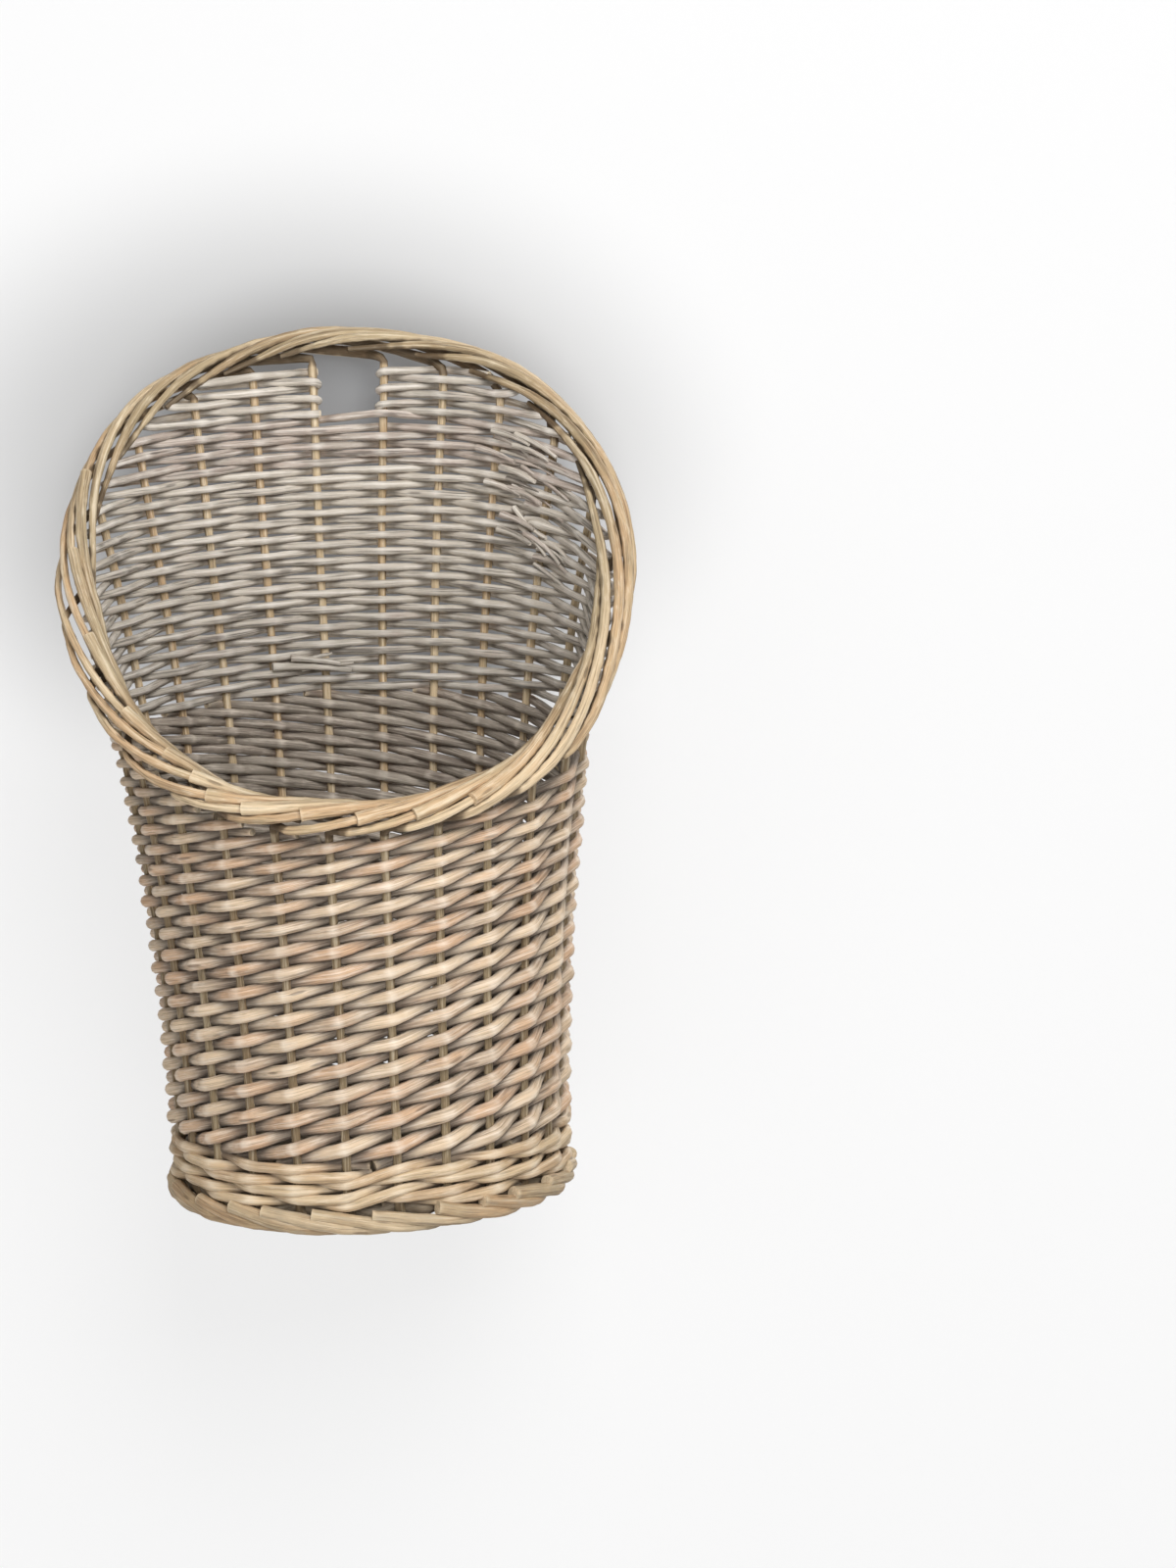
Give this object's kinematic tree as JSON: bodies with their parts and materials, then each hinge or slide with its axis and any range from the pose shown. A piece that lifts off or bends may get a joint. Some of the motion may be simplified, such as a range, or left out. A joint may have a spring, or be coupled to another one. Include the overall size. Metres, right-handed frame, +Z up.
{
  "type": "hanging wall basket",
  "caption": "Round flared willow wall basket with a slanting rolled rim, high woven back with a square hanging hole, and a waled foot.",
  "frame": {"origin": "on the floor under the middle of the basket's overall box, standing on its foot", "axes": "+Z up, -Y the low front of the mouth, +Y the high back that lies against the wall, +X to the right seen from the front"},
  "size_m": [0.3642, 0.3268, 0.5405],
  "materials": {
    "stake_willow": "peeled willow rods, dried honey beige, dull natural sheen",
    "siding_willow": "weathered peeled willow, pinkish tan with grey bloom",
    "wale_willow": "thick peeled willow, tan, dull",
    "panel_willow": "thin grey weathered willow, matt",
    "base_willow": "rough willow sticks and weavers, matt"
  },
  "bodies": {
    "root": {"stake_01": "stake_willow", "stake_02": "stake_willow", "stake_03": "stake_willow", "stake_04": "stake_willow", "stake_05": "stake_willow", "stake_06": "stake_willow", "stake_07": "stake_willow", "stake_08": "stake_willow", "stake_09": "stake_willow", "stake_10": "stake_willow", "stake_11": "stake_willow", "stake_12": "stake_willow", "stake_13": "stake_willow", "stake_14": "stake_willow", "stake_15": "stake_willow", "stake_16": "stake_willow", "stake_17": "stake_willow", "stake_18": "stake_willow", "stake_19": "stake_willow", "stake_20": "stake_willow", "stake_21": "stake_willow", "stake_22": "stake_willow", "stake_23": "stake_willow", "stake_24": "stake_willow", "siding_weaver_01": "siding_willow", "siding_weaver_02": "siding_willow", "siding_weaver_03": "siding_willow", "siding_weaver_04": "siding_willow", "siding_weaver_05": "siding_willow", "siding_weaver_06": "siding_willow", "siding_weaver_07": "siding_willow", "siding_weaver_08": "siding_willow", "siding_weaver_09": "siding_willow", "siding_weaver_10": "siding_willow", "siding_weaver_11": "siding_willow", "siding_weaver_12": "siding_willow", "siding_weaver_13": "siding_willow", "siding_weaver_14": "siding_willow", "siding_weaver_15": "siding_willow", "siding_weaver_16": "siding_willow", "siding_weaver_17": "siding_willow", "siding_weaver_18": "siding_willow", "siding_weaver_19": "siding_willow", "siding_weaver_20": "siding_willow", "siding_weaver_21": "siding_willow", "siding_weaver_22": "siding_willow", "siding_weaver_23": "siding_willow", "siding_weaver_24": "siding_willow", "wale_rod_1": "wale_willow", "wale_rod_2": "wale_willow", "wale_rod_3": "wale_willow", "panel_weaver_1": "panel_willow", "panel_weaver_2": "panel_willow", "panel_weaver_3": "panel_willow", "panel_weaver_4": "panel_willow", "panel_weaver_left_of_hole": "panel_willow", "panel_weaver_right_of_hole": "panel_willow", "base_cross": "base_willow", "base_weaver_1": "base_willow", "base_weaver_2": "base_willow"}
  },
  "joints": []
}
